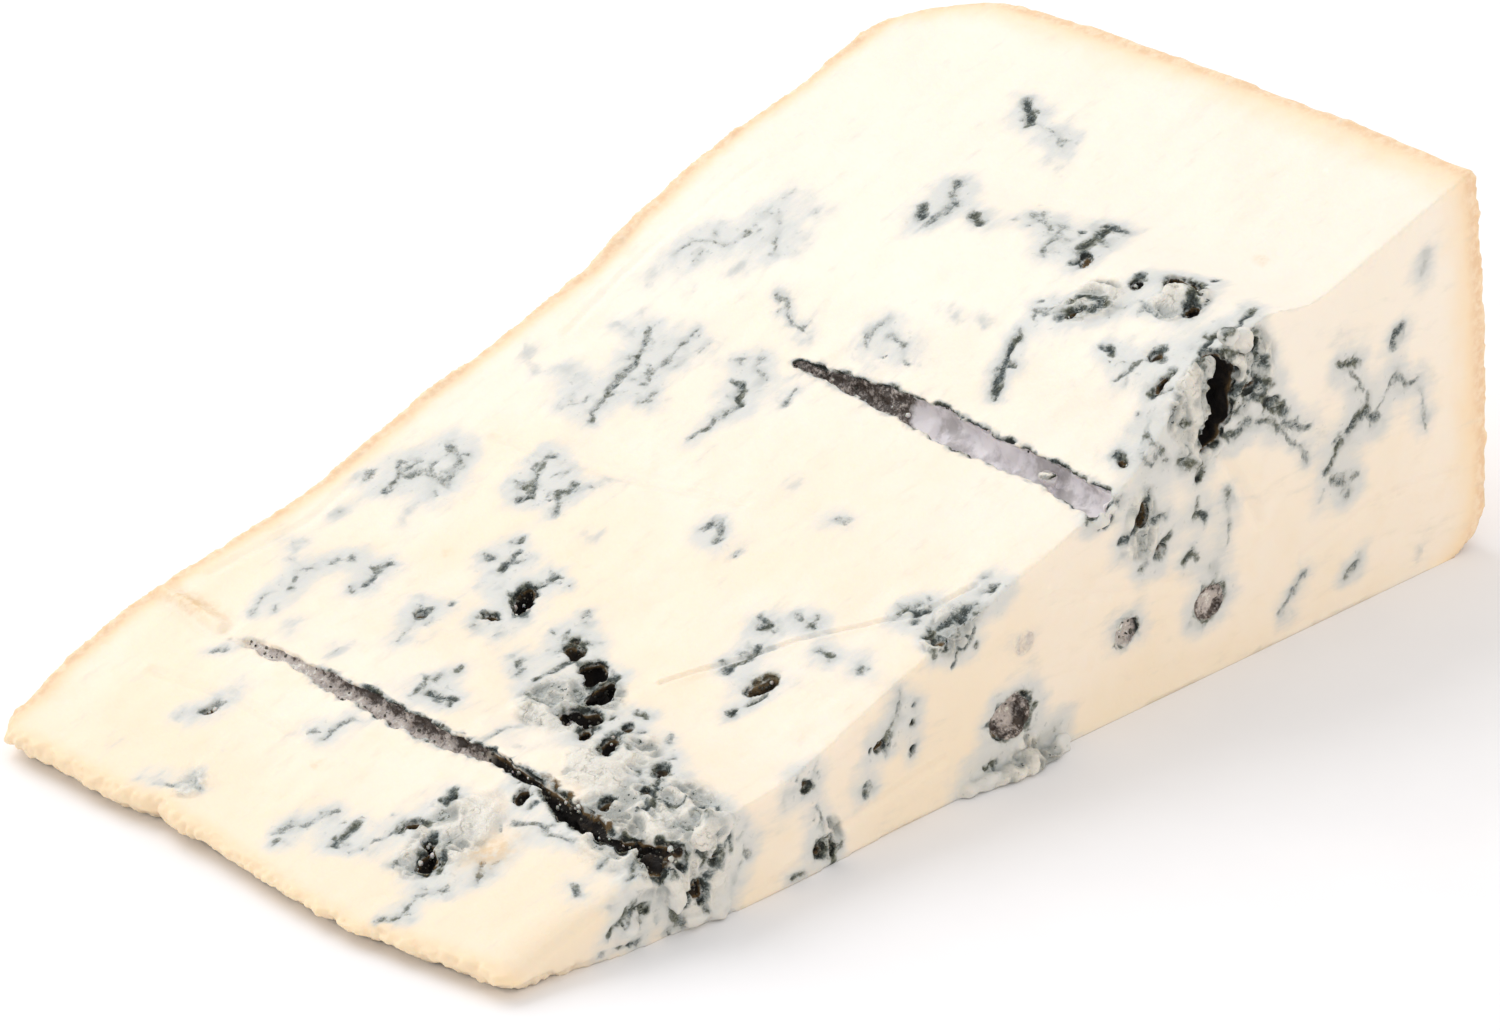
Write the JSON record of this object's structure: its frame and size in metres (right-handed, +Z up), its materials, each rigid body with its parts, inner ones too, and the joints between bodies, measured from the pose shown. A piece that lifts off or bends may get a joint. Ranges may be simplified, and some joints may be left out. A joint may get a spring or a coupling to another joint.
{
  "type": "gorgonzola wedge",
  "caption": "Wedge of blue-veined soft cheese lying on a cut side, with a blunt tip, sloping cut top, needle grooves, mould pits and a curved rind.",
  "frame": {"origin": "on the surface that the wedge lies on, under the middle of its box", "axes": "+X from the thin tip to the curved rind, +Y along the wheel's axis from the cut that halved the wheel to its flat rind face, +Z up"},
  "size_m": [0.1695, 0.0895, 0.0521],
  "materials": {
    "paste": "soft creamy cut paste with blue-green mould, tan rind at the rim",
    "mould": "dark blue-grey mould, dull and crumbly"
  },
  "bodies": {
    "root": {"cheese": "paste"}
  },
  "joints": []
}
